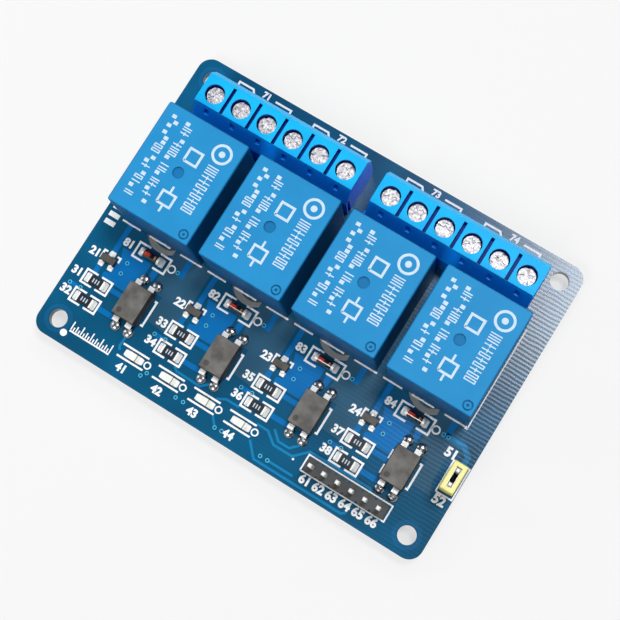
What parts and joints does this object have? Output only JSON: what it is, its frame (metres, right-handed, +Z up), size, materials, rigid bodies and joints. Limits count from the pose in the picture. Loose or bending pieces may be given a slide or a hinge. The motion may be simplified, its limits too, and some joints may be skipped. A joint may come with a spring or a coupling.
{
  "type": "relay module board",
  "caption": "Blue circuit board with cube relays, screw terminals along one edge, optocouplers, lamps, a pin header and a pull-off supply link.",
  "frame": {"origin": "below the middle of the board, level with the cut ends of the pins that it stands on", "axes": "+X along the board towards the input header and the supply link, +Y towards the screw terminals, +Z up from the component side"},
  "size_m": [0.076, 0.056, 0.019],
  "materials": {
    "circuit_board": "gloss",
    "relay_cover": "satin",
    "relay_base": "matte",
    "tinned_pins": "satin",
    "terminal_housing": "satin",
    "plated_steel": "satin",
    "optocoupler": "matte",
    "transistor": "matte",
    "diode_glass": "gloss",
    "lamp": "satin",
    "resistor": "satin",
    "header_plastic": "matte",
    "header_pins": "polished",
    "link_cap": "satin",
    "solder": "satin"
  },
  "bodies": {
    "board": {"circuit_board": "circuit_board", "relay_cover_1": "relay_cover", "relay_cover_2": "relay_cover", "relay_cover_3": "relay_cover", "relay_cover_4": "relay_cover", "relay_base_1": "relay_base", "relay_base_2": "relay_base", "relay_base_3": "relay_base", "relay_base_4": "relay_base", "relay_pins": "tinned_pins", "terminal_contacts": "tinned_pins", "optocoupler_leads": "tinned_pins", "transistor_leads": "tinned_pins", "diode_caps": "tinned_pins", "terminal_housing_1": "terminal_housing", "terminal_housing_2": "terminal_housing", "terminal_screws": "plated_steel", "terminal_cages": "plated_steel", "optocoupler_1": "optocoupler", "optocoupler_2": "optocoupler", "optocoupler_3": "optocoupler", "optocoupler_4": "optocoupler", "transistor_1": "transistor", "transistor_2": "transistor", "transistor_3": "transistor", "transistor_4": "transistor", "diode_1": "diode_glass", "diode_2": "diode_glass", "diode_3": "diode_glass", "diode_4": "diode_glass", "lamp_1": "lamp", "lamp_2": "lamp", "lamp_3": "lamp", "lamp_4": "lamp", "resistor_1": "resistor", "resistor_2": "resistor", "resistor_3": "resistor", "resistor_4": "resistor", "resistor_5": "resistor", "resistor_6": "resistor", "resistor_7": "resistor", "resistor_8": "resistor", "input_header": "header_plastic", "link_header": "header_plastic", "input_pins": "header_pins", "link_pins": "header_pins", "solder_joints": "solder"},
    "link": {"link_cap": "link_cap", "link_clip": "header_pins"}
  },
  "joints": [
    {"name": "link_lift", "type": "slide", "parent": "board", "child": "link", "axis": [0, 0, 1], "range_m": [0, 0.008]}
  ]
}
